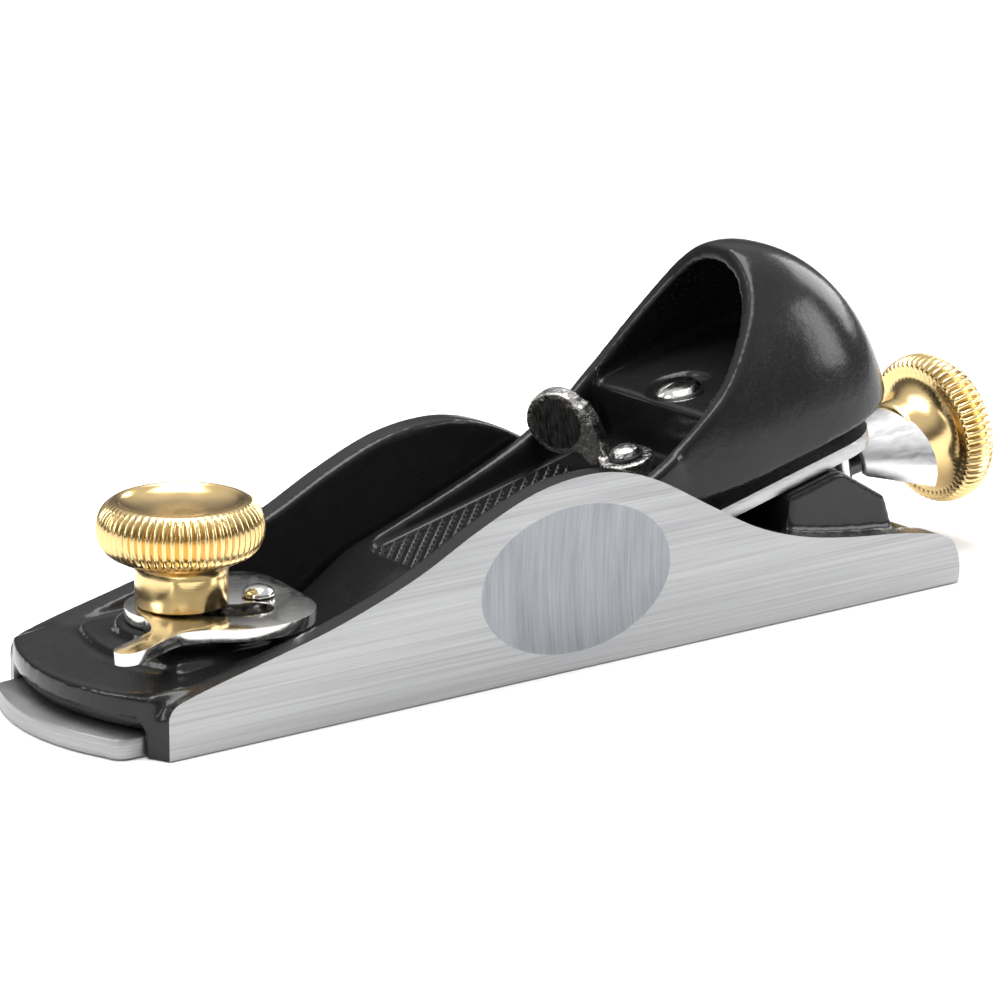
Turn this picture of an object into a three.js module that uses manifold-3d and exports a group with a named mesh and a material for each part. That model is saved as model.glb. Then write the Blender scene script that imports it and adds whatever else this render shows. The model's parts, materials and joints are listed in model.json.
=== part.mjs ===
// Low-angle block plane: an iron body with a sliding toe plate, a bevel-up cutter held by a
// hooded lever cap, and a screw-and-lever adjuster behind it. Millimetres, +Z up. +X runs from
// toe to heel, and the origin lies on the sole, in the middle of its width.
import * as THREE from 'three';
import { mergeVertices } from 'three/addons/utils/BufferGeometryUtils.js';
import Module from 'manifold-3d';

const wasm = await Module();
wasm.setup();

// ---------------------------------------------------------------- driving dimensions
const RAD = Math.PI / 180;
const runGap = 0.3;            // between pieces that slide or turn on each other
const seatGap = 0.15;          // between faces that rest on each other
const boreGap = 0.25;          // round a shaft or a pin that turns in its hole

// cutter and its bed
const cutterWidth = 35;
const cutterThickness = 2.4;
const cutterLength = 110;
const cutterSetback = 0.6;     // of the edge, from the sole, along the bed
const cutterBevel = 25 * RAD;
const cutterTailRound = 9;
const cutterSlotWidth = 11;
const cutterSlotFront = 30;
const grooveDepth = 1.3;
const grooveWidth = 1.9;
const groovePitch = 3;
const grooveCount = 5;
const bedAngle = 13.5 * RAD;
const bedFoot = -38.6;         // where the bed meets the sole
const rampLength = 26;

// body casting
const cheekWall = 4.2;
const cheekClearance = 0.9;    // from the cutter's side to the cheek
const innerHalf = cutterWidth / 2 + cheekClearance;
const halfWidth = innerHalf + cheekWall;
const toeReach = 78.2;         // from the origin to the front of the cheeks
const heelReach = 80.3;
const crestHeight = 31.7;
const soleThickness = 4;
const noseSagitta = 7.3;       // how far the nose bows out past the cheeks
const heelRound = 5;
const rearWallThickness = 4;
const rearWallHeight = 7;
const dimpleLength = 37.8;
const dimpleHeight = 24;
const dimpleDepth = 1.1;
const dimpleCentre = [-1.4, 15];

// toe deck, toe plate and front knob
const toePlateThickness = 3.2;
const toeLip = 3.1;            // how far the lip stands out in front of the nose
const toePlateRound = 3;
const mouthTravel = 2.4;       // of the toe plate, from open to closed
const mouthClosed = 0.9;       // left between toe plate and edge when it is closed
const cutterAdvance = 1.6;     // of the edge past its rest, along the bed
const deckFrontHeight = 9.4;
const deckRearHeight = 11.6;
const deckRear = -44;
const studX = -61.3;
const studRadius = 3;
const plateBossRadius = 4.2;
const plateBossTop = 8;
const deckBossRadius = 10.6;
const deckBossTop = 14;
const knobRadius = 13.1;
const knobNeckRadius = 7.3;
const knobNeckHeight = 6.9;
const knobHeight = 16.7;
const knobDish = 1.8;

// eccentric lever
const eccentricThickness = 2;
const eccentricPitch = 4.407;  // slide of the toe plate per radian of the lever
const eccentricSlotTravel = 5; // slide that the lever's slot is long enough for
const pivotPin = [-49.3, -3.3];
const pivotPinRadius = 2;
const pivotHeadRadius = 2.6;

// lever cap
const capGap = 0.6;            // from the cap's side to the cheek
const capUnderside = 4.5;      // heights above the bed from here on
const capFloor = 7.2;
const capRimWall = 2.9;
const capToe = 7;              // distances along the bed from here on
const capBevelEnd = 23;
const hoodOverhang = 1;        // of the hood's side past the inside of the cheek
const hoodHalfWidth = innerHalf + hoodOverhang;
const hoodHeight = 32.8;
const hoodBase = 5;
const hoodWall = 2.7;
const hoodRearStart = 93.2;
const hoodRearReach = 25;
const hoodFlareStart = 66;
const hoodFlareEnd = 82;
const shelfFront = 77;
const shelfTop = 15.9;
const shelfThickness = 3.6;
const capScrewAt = 82;
const capScrewRadius = 2.4;
const capScrewHead = 4;
const keyholeRun = 8.5;
const keyholeRadius = 4.6;

// cam lever
const camAt = 69;
const camHubRadius = 4.6;
const camJournalRadius = 3.4;
const camPadRadius = 5.6;
const camPadReach = 11;
const camPadHeight = 16.1;
const camPadThickness = 2.6;
const camPadTwist = 25 * RAD;   // of the pad's face from square to the arm
const camAngle = 115 * RAD;    // of the arm, from the heel's side, at rest
const camRivetRadius = 1.5;
const camWasherRadius = 3;

// adjuster
const spindleDip = 4.5 * RAD;   // of the spindle from the bed, towards the heel
const spindleTilt = bedAngle - spindleDip;
const spindleFront = 53;
const spindleDrop = 8.491;     // from the bed down to the spindle's front end
const spindleFoot = [spindleFront, (spindleFront - bedFoot) * Math.tan(bedAngle) - spindleDrop];
const spindleRadius = 2.5;
const spindleLength = 46.5;
const blockFront = 3.5;        // distances along the spindle from here on
const blockLength = 7;
const blockHalf = 6;
const nibThickness = 1.2;
const lateralPlateBase = 5;
const lateralPlateThickness = 1.4;
const lateralHalf = 8;
const lateralRivetAt = -3.2;
const lateralRivetRadius = 1.6;
const earFront = 16.6;
const earThickness = 1.5;
const saddleFront = 21;
const saddleRear = 37;
const saddleNarrow = 6;
const saddleWide = 11.4;
const saddleWrap = 104 * RAD;
const saddleWall = 1.2;
const rearKnobFace = 38.4;
const rearKnobRadius = 13.2;

// rib across the body that carries the cutter's tail and the adjuster
const ribFront = 45.5;
const ribLand = 11;
const ribRear = 68.5;
const ribRearHeight = 9.9;
const ribCrestRear = [66.3, 16.6];
const channelHalf = lateralHalf + 1.4;
const screwBossRadius = 5;

// ---------------------------------------------------------------- frames
const bedMatrix = new THREE.Matrix4().makeRotationY(-bedAngle).setPosition(bedFoot, 0, 0);
const spindleMatrix = new THREE.Matrix4()
  .makeRotationY(-spindleTilt)
  .setPosition(spindleFoot[0], 0, spindleFoot[1]);

// ---------------------------------------------------------------- solids
function solid(geometry, matrix) {
  const bare = geometry.clone();
  bare.deleteAttribute('normal');
  bare.deleteAttribute('uv');
  if (matrix) bare.applyMatrix4(matrix);
  const merged = mergeVertices(bare, 1e-4);
  const position = merged.attributes.position;
  const corners = [];
  let volume = 0;
  const a = new THREE.Vector3();
  const b = new THREE.Vector3();
  const c = new THREE.Vector3();
  for (let i = 0; i < merged.index.count; i += 3) {
    const [p, q, r] = [0, 1, 2].map((k) => merged.index.getX(i + k));
    if (p === q || q === r || r === p) continue;
    corners.push(p, q, r);
    a.fromBufferAttribute(position, p);
    b.fromBufferAttribute(position, q);
    c.fromBufferAttribute(position, r);
    volume += a.dot(b.cross(c));
  }
  if (volume < 0) corners.reverse();
  const mesh = new wasm.Mesh({
    numProp: 3,
    vertProperties: Float32Array.from(position.array),
    triVerts: Uint32Array.from(corners),
  });
  return new wasm.Manifold(mesh);
}

function box(x0, x1, y0, y1, z0, z1) {
  const geometry = new THREE.BoxGeometry(x1 - x0, y1 - y0, z1 - z0);
  return geometry.translate((x0 + x1) / 2, (y0 + y1) / 2, (z0 + z1) / 2);
}

function rod(radius, z0, z1, x = 0, y = 0, sides = 40) {
  const geometry = new THREE.CylinderGeometry(radius, radius, z1 - z0, sides);
  return geometry.rotateX(Math.PI / 2).translate(x, y, (z0 + z1) / 2);
}

function rodAlongX(radius, x0, x1, sides = 40) {
  return rod(radius, x0, x1, 0, 0, sides).rotateY(Math.PI / 2);
}

function turned(profile, sides = 44) {
  const points = profile.map(([r, z]) => new THREE.Vector2(r, z));
  return new THREE.LatheGeometry(points, sides).rotateX(Math.PI / 2);
}

function shapeOf(points) {
  return new THREE.Shape(points.map(([x, y]) => new THREE.Vector2(x, y)));
}

// an outline in plan, raised from z0 to z1
function plate(points, z0, z1) {
  const settings = { depth: z1 - z0, bevelEnabled: false };
  return new THREE.ExtrudeGeometry(shapeOf(points), settings).translate(0, 0, z0);
}

// an outline seen from the side, as x and z, spread from y0 to y1
function sideProfile(points, y0, y1) {
  const settings = { depth: y1 - y0, bevelEnabled: false };
  return new THREE.ExtrudeGeometry(shapeOf(points), settings).rotateX(Math.PI / 2).translate(0, y1, 0);
}

function arc(cx, cy, radius, from, to, steps) {
  const points = [];
  for (let i = 0; i <= steps; i += 1) {
    const turn = from + ((to - from) * i) / steps;
    points.push([cx + radius * Math.cos(turn), cy + radius * Math.sin(turn)]);
  }
  return points;
}

function spline(points, steps) {
  const curve = new THREE.SplineCurve(points.map(([x, y]) => new THREE.Vector2(x, y)));
  return curve.getPoints(steps).map((p) => [p.x, p.y]);
}

// a slot in plan round a path of points
function slotAround(path, radius, z0, z1) {
  let slot = null;
  for (let i = 1; i < path.length; i += 1) {
    const [x0, y0] = path[i - 1];
    const [x1, y1] = path[i];
    const turn = Math.atan2(y1 - y0, x1 - x0);
    const outline = [
      ...arc(x0, y0, radius, turn + Math.PI / 2, turn + (3 * Math.PI) / 2, 12),
      ...arc(x1, y1, radius, turn - Math.PI / 2, turn + Math.PI / 2, 12),
    ];
    const piece = solid(plate(outline, z0, z1));
    slot = slot ? slot.add(piece) : piece;
  }
  return slot;
}

// rings of equal length joined into a closed skin, with flat ends
function loft(rings) {
  const count = rings[0].length;
  const position = rings.flat(2);
  const index = [];
  for (let k = 0; k + 1 < rings.length; k += 1) {
    for (let i = 0; i < count; i += 1) {
      const a = k * count + i;
      const b = k * count + ((i + 1) % count);
      index.push(a, b, b + count, a, b + count, a + count);
    }
  }
  const ends = [[0, true], [rings.length - 1, false]];
  for (const [k, first] of ends) {
    const flat = rings[k].map(([x, y]) => new THREE.Vector2(x, y));
    for (const [a, b, c] of THREE.ShapeUtils.triangulateShape(flat, [])) {
      const face = first ? [a, c, b] : [a, b, c];
      index.push(...face.map((i) => k * count + i));
    }
  }
  const geometry = new THREE.BufferGeometry();
  geometry.setAttribute('position', new THREE.Float32BufferAttribute(position, 3));
  geometry.setIndex(index);
  return geometry;
}

function mesh(name, shape, finish) {
  const skin = shape.getMesh();
  const geometry = new THREE.BufferGeometry();
  geometry.setAttribute('position', new THREE.BufferAttribute(skin.vertProperties, 3));
  geometry.setIndex(new THREE.BufferAttribute(skin.triVerts, 1));
  geometry.computeVertexNormals();
  const material = new THREE.MeshStandardMaterial({ name, ...finish });
  const piece = new THREE.Mesh(geometry, material);
  piece.name = name;
  return piece;
}

// ---------------------------------------------------------------- finishes
const enamelledIron = { color: 0x15171a, roughness: 0.25, metalness: 0.1 };
const groundIron = { color: 0xb4b6b8, roughness: 0.4, metalness: 1 };
const brass = { color: 0xd8b468, roughness: 0.25, metalness: 1 };
const nickel = { color: 0xd2d2cc, roughness: 0.2, metalness: 1 };
const bladeSteel = { color: 0x9a9b9a, roughness: 0.45, metalness: 1 };
const plainSteel = { color: 0xa3a4a6, roughness: 0.35, metalness: 1 };
const darkSteel = { color: 0x4b4c50, roughness: 0.4, metalness: 1 };

// ---------------------------------------------------------------- body casting
// height of the cheek over its run from toe to crest and from crest to heel, each as
// shares of the reach and of the crest's height
const cheekRise = [[-1, 0.262], [-0.9, 0.327], [-0.75, 0.408], [-0.6, 0.497], [-0.42, 0.648],
  [-0.27, 0.822], [-0.13, 0.955], [-0.01, 1]];
const cheekFall = [[0.09, 0.98], [0.19, 0.893], [0.32, 0.71], [0.445, 0.54], [0.57, 0.435],
  [0.7, 0.377], [0.83, 0.34], [0.93, 0.295], [0.975, 0.24]];

function cheekOutline() {
  const knots = [
    ...cheekRise.map(([run, rise]) => [run * toeReach, rise * crestHeight]),
    ...cheekFall.map(([run, rise]) => [run * heelReach, rise * crestHeight]),
    [heelReach, crestHeight * 0.14],
  ];
  // runs on forwards as far as the nose, whose round plan trims it
  const front = -toeReach - noseSagitta;
  return [[front, 0], [front, cheekRise[0][1] * crestHeight - 0.6], ...spline(knots, 56),
    [heelReach, 0.8], [heelReach - 0.8, 0]];
}

function bodyPlan() {
  const chord = 2 * halfWidth;
  const radius = (chord * chord) / 8 / noseSagitta + noseSagitta / 2;
  const centre = -toeReach - noseSagitta + radius;
  const spread = Math.asin(halfWidth / radius);
  const quarter = Math.PI / 2;
  return [
    ...arc(centre, 0, radius, Math.PI - spread, Math.PI + spread, 20),
    ...arc(heelReach - heelRound, heelRound - halfWidth, heelRound, -quarter, 0, 6),
    ...arc(heelReach - heelRound, halfWidth - heelRound, heelRound, 0, quarter, 6),
  ];
}

// the deck over the toe plate, its boss, and the slot that the plate's boss slides in
function toeDeck() {
  const front = -toeReach - noseSagitta;
  const under = toePlateThickness + runGap;
  const side = [[front, under], [deckRear, under], [deckRear, deckRearHeight],
    [front, deckFrontHeight]];
  const deck = solid(sideProfile(side, -innerHalf - cheekWall / 2, innerHalf + cheekWall / 2));
  const bossPath = [[studX, 0], [pivotPin[0], pivotPin[1] / 2]];
  return deck.add(slotAround(bossPath, deckBossRadius, under, deckBossTop));
}

function ribOutline() {
  const bedHeight = (x) => (x - bedFoot) * Math.tan(bedAngle) - runGap / Math.cos(bedAngle);
  return [[ribFront - 2, 0], [ribFront, bedHeight(ribFront)],
    [ribFront + ribLand, bedHeight(ribFront + ribLand)], ribCrestRear,
    [ribRear, ribRearHeight], [ribRear + 1, 0]];
}

function adjusterChannel() {
  const floor = -blockHalf - runGap;
  const reach = ribRear - spindleFoot[0] + 12;
  const front = lateralRivetAt + lateralRivetRadius + 1.2;
  const trough = box(front, reach, -channelHalf, channelHalf, floor, 40);
  const shoulder = box(lateralRivetAt - 5, reach, -channelHalf, channelHalf,
    lateralPlateBase - runGap, 40);
  return solid(trough, spindleMatrix).add(solid(shoulder, spindleMatrix));
}

function dimple(side) {
  const bulge = 10;
  const share = Math.sqrt(1 - ((bulge - dimpleDepth) / bulge) ** 2);
  const ball = new THREE.SphereGeometry(1, 56, 44);
  ball.scale(dimpleLength / 2 / share, bulge, dimpleHeight / 2 / share);
  const y = side * (halfWidth + bulge - dimpleDepth);
  return solid(ball.translate(dimpleCentre[0], y, dimpleCentre[1]));
}

function bodyCasting() {
  const tall = crestHeight + 10;
  let body = solid(sideProfile(cheekOutline(), -halfWidth, -innerHalf));
  body = body.add(solid(sideProfile(cheekOutline(), innerHalf, halfWidth)));
  body = body.add(solid(box(bedFoot, heelReach, -innerHalf - 1, innerHalf + 1, 0, soleThickness)));
  const ramp = [[bedFoot, 0], [bedFoot + rampLength + 4, 0],
    [bedFoot + rampLength, rampLength * Math.tan(bedAngle)]];
  body = body.add(solid(sideProfile(ramp, -innerHalf - 1, innerHalf + 1)));
  body = body.add(toeDeck());
  body = body.add(solid(sideProfile(ribOutline(), -innerHalf - 1, innerHalf + 1)));
  body = body.add(solid(rod(screwBossRadius, -30, -runGap, capScrewAt, 0), bedMatrix));
  body = body.add(solid(box(heelReach - rearWallThickness, heelReach, -innerHalf - 1,
    innerHalf + 1, 0, rearWallHeight)));
  body = body.intersect(solid(plate(bodyPlan(), 0, tall)));
  // the bed's face, the adjuster's channel and the holes
  const overBed = box(-10, rampLength + 20, -innerHalf, innerHalf, -runGap, 30);
  body = body.subtract(solid(overBed, bedMatrix));
  body = body.subtract(adjusterChannel());
  body = body.subtract(solid(rod(capScrewRadius + boreGap, -15, 30, capScrewAt, 0), bedMatrix));
  const rivetHole = rod(lateralRivetRadius + boreGap, -1, 12, lateralRivetAt, 0, 24);
  body = body.subtract(solid(rivetHole, spindleMatrix));
  const bossSlot = [[studX, 0], [studX + mouthTravel, 0]];
  body = body.subtract(slotAround(bossSlot, plateBossRadius + boreGap, 0, tall));
  body = body.subtract(solid(rod(pivotPinRadius + boreGap, 0, tall, ...pivotPin, 32)));
  body = body.subtract(dimple(-1));
  return body.subtract(dimple(1));
}

// ---------------------------------------------------------------- toe plate and front knob
const toePlateRear = bedFoot - mouthClosed - mouthTravel - cutterAdvance * Math.cos(bedAngle);

function toePlate() {
  const half = innerHalf - runGap;
  const front = -toeReach - noseSagitta - toeLip;
  const radius = (halfWidth * halfWidth) / 2 / noseSagitta + noseSagitta / 2;
  const cornerDrop = radius - Math.sqrt(radius * radius - (half - toePlateRound) ** 2);
  const spread = Math.asin((half - toePlateRound) / radius);
  const cornerX = front + cornerDrop + toePlateRound;
  const outline = [
    ...arc(front + radius, 0, radius, Math.PI - spread, Math.PI + spread, 18),
    ...arc(cornerX, toePlateRound - half, toePlateRound, Math.PI + 0.5, Math.PI * 1.5, 5),
    [toePlateRear, -half],
    [toePlateRear, half],
    ...arc(cornerX, half - toePlateRound, toePlateRound, Math.PI / 2, Math.PI - 0.5, 5),
  ];
  const boss = rod(plateBossRadius, toePlateThickness - 1, plateBossTop, studX, 0);
  const mouthFace = [[toePlateRear - 1.5, toePlateThickness + 1], [toePlateRear + 1, 1],
    [toePlateRear + 1, toePlateThickness + 1]];
  return solid(plate(outline, 0, toePlateThickness))
    .add(solid(boss))
    .subtract(solid(sideProfile(mouthFace, -half - 1, half + 1)))
    .subtract(solid(rod(studRadius + boreGap, 0.9, 40, studX, 0)));
}

const knobSeat = deckBossTop + seatGap + eccentricThickness + seatGap;

function frontKnob() {
  const r = knobRadius;
  const top = knobHeight;
  const neck = knobNeckHeight;
  const profile = [
    [0, 0], [knobNeckRadius, 0], [knobNeckRadius, neck - 0.8], [knobNeckRadius + 0.6, neck],
    [r - 1.6, neck + 1.6], [r - 0.5, neck + 2.4], [r, neck + 3.8], [r, neck + 6.6],
    [r - 0.4, neck + 8], [r - 1.3, neck + 9.2], [r - 2.6, top], [r - 3.8, top - 0.1],
    [r - 5, top - 0.8], [r - 8, top - knobDish + 0.3], [0, top - knobDish],
  ];
  const bore = rod(studRadius + 0.01, -1, neck + 3, 0, 0);
  return solid(turned(profile)).subtract(solid(bore));
}

function frontStud() {
  const down = 1.3 - knobSeat;
  return solid(rod(studRadius, down, knobNeckHeight + 2.9, 0, 0));
}

// ---------------------------------------------------------------- eccentric lever
// where the stud stands in the lever's own frame as the lever swings
function studPath() {
  const path = [];
  for (let i = 0; i <= 10; i += 1) {
    const slide = (eccentricSlotTravel * i) / 10;
    const turn = slide / eccentricPitch;
    const dx = studX + slide - pivotPin[0];
    const dy = -pivotPin[1];
    path.push([
      pivotPin[0] + dx * Math.cos(turn) - dy * Math.sin(turn),
      pivotPin[1] + dx * Math.sin(turn) + dy * Math.cos(turn),
    ]);
  }
  return path;
}

function eccentricLever() {
  const [px, py] = pivotPin;
  const lobe = arc(studX, 0, 9.8, 140 * RAD, 190 * RAD, 8);
  const outline = [
    ...lobe,
    ...spline([[px - 22.4, py - 2.6], [px - 25, py - 6.2], [px - 31, py - 8.6],
      [px - 34.3, py - 10.6], [px - 34.1, py - 13.4], [px - 30, py - 12.9],
      [px - 24.5, py - 10.8], [px - 19.4, py - 9.6], [px - 15.4, py - 11],
      [px - 11.6, py - 13.2], [px - 6.8, py - 14.7], [px - 2, py - 14.3],
      [px + 2.6, py - 12], [px + 5.3, py - 8], [px + 6.6, py],
      [px + 7.4, py + 7.5], [px + 5.8, py + 12.2], [px + 1, py + 14.4],
      [px - 7, py + 13.6], [studX + 1.5, 9.75]], 80).slice(1),
  ];
  const base = deckBossTop + seatGap;
  const top = base + eccentricThickness;
  return solid(plate(outline, base, top))
    .subtract(slotAround(studPath(), studRadius + boreGap, base - 1, top + 1))
    .subtract(solid(rod(pivotPinRadius + boreGap, base - 1, top + 1, px, py, 32)));
}

function eccentricPin() {
  const r = pivotHeadRadius;
  const top = deckBossTop + eccentricThickness + 2 * seatGap;
  const profile = [[0, toePlateThickness + 1], [pivotPinRadius, toePlateThickness + 1],
    [pivotPinRadius, top], [r, top], [r, top + 0.5], [r * 0.82, top + 1.1], [r * 0.45, top + 1.5],
    [0, top + 1.6]];
  return solid(turned(profile, 32).translate(...pivotPin, 0));
}

// ---------------------------------------------------------------- cutter (in the bed's frame)
const cutterTail = cutterSetback + cutterLength;
const nibAlongBed = nibPlaceAlongBed();

// the nib's place on the bed, from its place on the spindle
function nibPlaceAlongBed() {
  const tip = new THREE.Vector3(blockFront + blockLength / 2, 0, 9);
  return tip.applyMatrix4(spindleMatrix).applyMatrix4(bedMatrix.clone().invert()).x;
}

function cutter() {
  const half = cutterWidth / 2;
  const round = cutterTailRound;
  const quarter = Math.PI / 2;
  const plan = [
    [cutterSetback, -half],
    ...arc(cutterTail - round, round - half, round, -quarter, 0, 8),
    ...arc(cutterTail - round, half - round, round, 0, quarter, 8),
    [cutterSetback, half],
  ];
  const bevelRun = cutterThickness / Math.tan(cutterBevel);
  const bevel = [[cutterSetback - 1, 0.15], [cutterSetback, 0.15],
    [cutterSetback + bevelRun, cutterThickness + 0.15], [cutterSetback - 1, cutterThickness + 0.15]];
  const screwReach = cutterSlotWidth / 2;
  const slot = [[cutterSlotFront, 0], [capScrewAt + 1, 0]];
  let blade = solid(plate(plan, 0, cutterThickness))
    .subtract(solid(sideProfile(bevel, -half - 1, half + 1)))
    .subtract(slotAround(slot, screwReach, -1, cutterThickness + 1));
  for (let i = 0; i < grooveCount; i += 1) {
    const at = nibAlongBed + (i - (grooveCount - 1) / 2) * groovePitch;
    const groove = box(at - grooveWidth / 2, at + grooveWidth / 2, -7, 7, -1, grooveDepth);
    blade = blade.subtract(solid(groove));
  }
  return blade;
}

// ---------------------------------------------------------------- lever cap (in the bed's frame)
// line of the rim seen from the side: along the tongue, then up round the mouth of the hood
const rimLine = spline([[capBevelEnd, 8.4], [40, 10.1], [54, 11.9], [62, 13.5], [68, 15.5],
  [73.5, 18], [79, 20.9], [84, 24.6], [88.4, 28.4], [91.8, 32], [94, 35.4], [95.6, 39]], 34);

// horizontal ring of the hood at a share of its height
function hoodRing(share, inset, front) {
  const shrink = Math.max(1 - share ** 2.03, 0.0004) ** (1 / 2.03);
  const height = hoodBase + (hoodHeight - inset) * share;
  const reach = (hoodRearReach - inset) * shrink;
  const flare = (s) => {
    const narrow = innerHalf - capGap;
    const step = THREE.MathUtils.smoothstep(s, hoodFlareStart, hoodFlareEnd);
    return (narrow + (hoodHalfWidth - narrow) * step - inset) * shrink;
  };
  const side = [];
  for (let i = 0; i <= 8; i += 1) {
    const s = front + ((hoodRearStart - front) * i) / 8;
    side.push([s, flare(s)]);
  }
  for (let i = 1; i < 12; i += 1) {
    const turn = (i / 12) * (Math.PI / 2);
    const s = hoodRearStart + reach * Math.sin(turn) ** (2 / 2.64);
    side.push([s, flare(hoodRearStart) * Math.cos(turn) ** (2 / 2.64)]);
  }
  const tip = [hoodRearStart + reach, 0];
  const near = side.map(([s, y]) => [s, -y]);
  const far = [...side].reverse();
  return [...near, tip, ...far].map(([s, y]) => [s, y, height]);
}

function hoodDome(inset, front) {
  const shares = [0, 0.2, 0.38, 0.54, 0.67, 0.78, 0.87, 0.93, 0.975, 1];
  return solid(loft(shares.map((share) => hoodRing(share, inset, front))));
}

function leverCap() {
  const half = innerHalf - capGap;
  const contact = cutterThickness + runGap;
  const tongue = [[capToe, contact], [capToe + 4, contact], [capToe + 7, capUnderside],
    [hoodFlareStart + 2, capUnderside], ...[...rimLine].reverse().filter(([s]) => s < hoodFlareStart + 2)];
  const inner = half - capRimWall;
  const frontPocket = capBevelEnd + 1.6;
  let cap = solid(sideProfile(tongue, -half, half));
  cap = cap.add(hoodDome(0, hoodFlareStart - 6));
  // open the mouth of the hood along the rim line, then hollow the recess and the hood
  const above = [...rimLine, [rimLine[rimLine.length - 1][0], 60], [0, 60], [0, 8.4]];
  cap = cap.subtract(solid(sideProfile(above, -30, 30)));
  const hollow = hoodDome(hoodWall, hoodFlareStart - 12);
  const upper = box(frontPocket, 140, -40, 40, capFloor, 80);
  const trough = [...arc(frontPocket + 4, 4 - inner, 4, Math.PI, Math.PI * 1.5, 5),
    [shelfFront, -inner], [shelfFront, inner],
    ...arc(frontPocket + 4, inner - 4, 4, Math.PI / 2, Math.PI, 5)];
  cap = cap.subtract(solid(plate(trough, capFloor, 80)));
  const overShelf = solid(box(shelfFront, 140, -40, 40, shelfTop, 80));
  const overFloor = solid(box(frontPocket, shelfFront, -40, 40, capFloor, 80));
  const underShelf = solid(box(shelfFront + 3, 140, -40, 40, 0, shelfTop - shelfThickness));
  cap = cap.subtract(hollow.intersect(solid(upper)).intersect(overShelf.add(overFloor)));
  cap = cap.subtract(hollow.intersect(underShelf));
  const belowHood = box(shelfFront + 3, 140, -(hoodHalfWidth - hoodWall), hoodHalfWidth - hoodWall,
    0, hoodBase + 0.5);
  cap = cap.subtract(hollow.intersect(solid(belowHood)));
  // the hood keeps clear of the cheeks that it spreads over
  const cheekSpace = cheekOutline().map(([x, z]) => [x, z + capGap]);
  const toBed = bedMatrix.clone().invert();
  for (const side of [-1, 1]) {
    const reach = [side * (innerHalf - capGap / 2), side * (halfWidth + 1)].sort((a, b) => a - b);
    cap = cap.subtract(solid(sideProfile(cheekSpace, ...reach), toBed));
  }
  const keySlot = [[capScrewAt, 0], [capScrewAt + keyholeRun, 0]];
  cap = cap.subtract(slotAround(keySlot, capScrewRadius + runGap, 0, 30));
  cap = cap.subtract(solid(rod(keyholeRadius, 0, 30, capScrewAt + keyholeRun, 0)));
  return cap.subtract(solid(rod(camJournalRadius + boreGap, 0, capFloor + 1, camAt, 0)));
}

function capScrew() {
  const seat = shelfTop + seatGap;
  const slot = box(capScrewAt - 5, capScrewAt + 5, -0.5, 0.5, seat + 0.9, seat + 4);
  const profile = [[0, -13], [capScrewRadius, -13], [capScrewRadius, seat], [capScrewHead, seat],
    [capScrewHead, seat + 0.9], [capScrewHead - 0.8, seat + 1.6], [0, seat + 2]];
  return solid(turned(profile, 36).translate(capScrewAt, 0, 0)).subtract(solid(slot));
}

// leaf under the cap, which takes the push of the cam and spreads it on the cutter
function capSpring() {
  const low = cutterThickness + 0.45;
  const leaf = box(camAt - 22, camAt + 7, -7, 7, low, low + 0.8);
  return solid(leaf);
}

// ---------------------------------------------------------------- cam lever (in the bed's frame)
const camFootTop = capFloor + seatGap + 2.6;

function camLever() {
  const foot = capFloor + seatGap;
  const journal = rod(camJournalRadius, cutterThickness + 1.55, foot + 1, 0, 0);
  const hub = turned([[0, foot], [camHubRadius, foot], [camHubRadius, camFootTop - 0.8],
    [camHubRadius - 0.9, camFootTop], [0, camFootTop]], 32);
  const rise = [[1, foot + 0.3], [camPadReach - 3, foot + 4.6], [camPadReach - 0.4, camPadHeight - 3.5],
    [camPadReach - 0.4, camPadHeight + 2], [camPadReach - 2.6, camPadHeight + 1],
    [camPadReach - 5, foot + 4.9], [1, camFootTop + 0.4]];
  const arm = sideProfile(rise, -2.4, 2.4);
  const pad = rodAlongX(camPadRadius, -camPadThickness / 2, camPadThickness / 2, 32)
    .rotateZ(-camPadTwist)
    .translate(camPadReach, 0, camPadHeight);
  return solid(journal)
    .add(solid(hub))
    .add(solid(arm))
    .add(solid(pad))
    .subtract(solid(rod(camWasherRadius + boreGap, camFootTop, camFootTop + 5, 0, 0, 32)))
    .subtract(solid(rod(camRivetRadius + 0.02, 0, camFootTop + 2, 0, 0, 24)));
}

function camRivet() {
  const low = cutterThickness + 1.6;
  const head = camFootTop + 0.65;
  const profile = [[0, low], [camRivetRadius, low], [camRivetRadius, head], [2.6, head],
    [2.2, head + 0.7], [1.2, head + 1.1], [0, head + 1.2]];
  return solid(turned(profile, 24));
}

function camWasher() {
  const low = camFootTop + 0.1;
  return solid(rod(camWasherRadius, low, low + 0.45, 0, 0, 32))
    .subtract(solid(rod(camRivetRadius + 0.05, 0, 30, 0, 0, 24)));
}

// ---------------------------------------------------------------- adjuster (in the spindle's frame)
function lateralLever() {
  const low = lateralPlateBase;
  const top = low + lateralPlateThickness;
  const nose = 3.3;
  const slotEnd = earFront - 2.5;
  const outline = [
    ...arc(lateralRivetAt, 0, nose, Math.PI / 2, Math.PI * 1.5, 10),
    [lateralRivetAt + 4.5, -lateralHalf], [earFront + earThickness, -lateralHalf],
    [saddleFront + 1, -saddleNarrow * 0.55], [saddleFront + 1, saddleNarrow * 0.55],
    [earFront + earThickness, lateralHalf], [lateralRivetAt + 4.5, lateralHalf],
  ];
  const ear = box(earFront, earFront + earThickness, -5, 5, -4, low + 0.5);
  return solid(plate(outline, low, top))
    .add(solid(ear))
    .add(saddle(top))
    .subtract(solid(box(1.2, slotEnd, -5, 5, low - 1, top + 1)))
    .subtract(solid(rod(lateralRivetRadius + boreGap, low - 1, top + 1, lateralRivetAt, 0, 24)))
    .subtract(solid(rodAlongX(spindleRadius + boreGap, 0, earFront + 4)));
}

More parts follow.
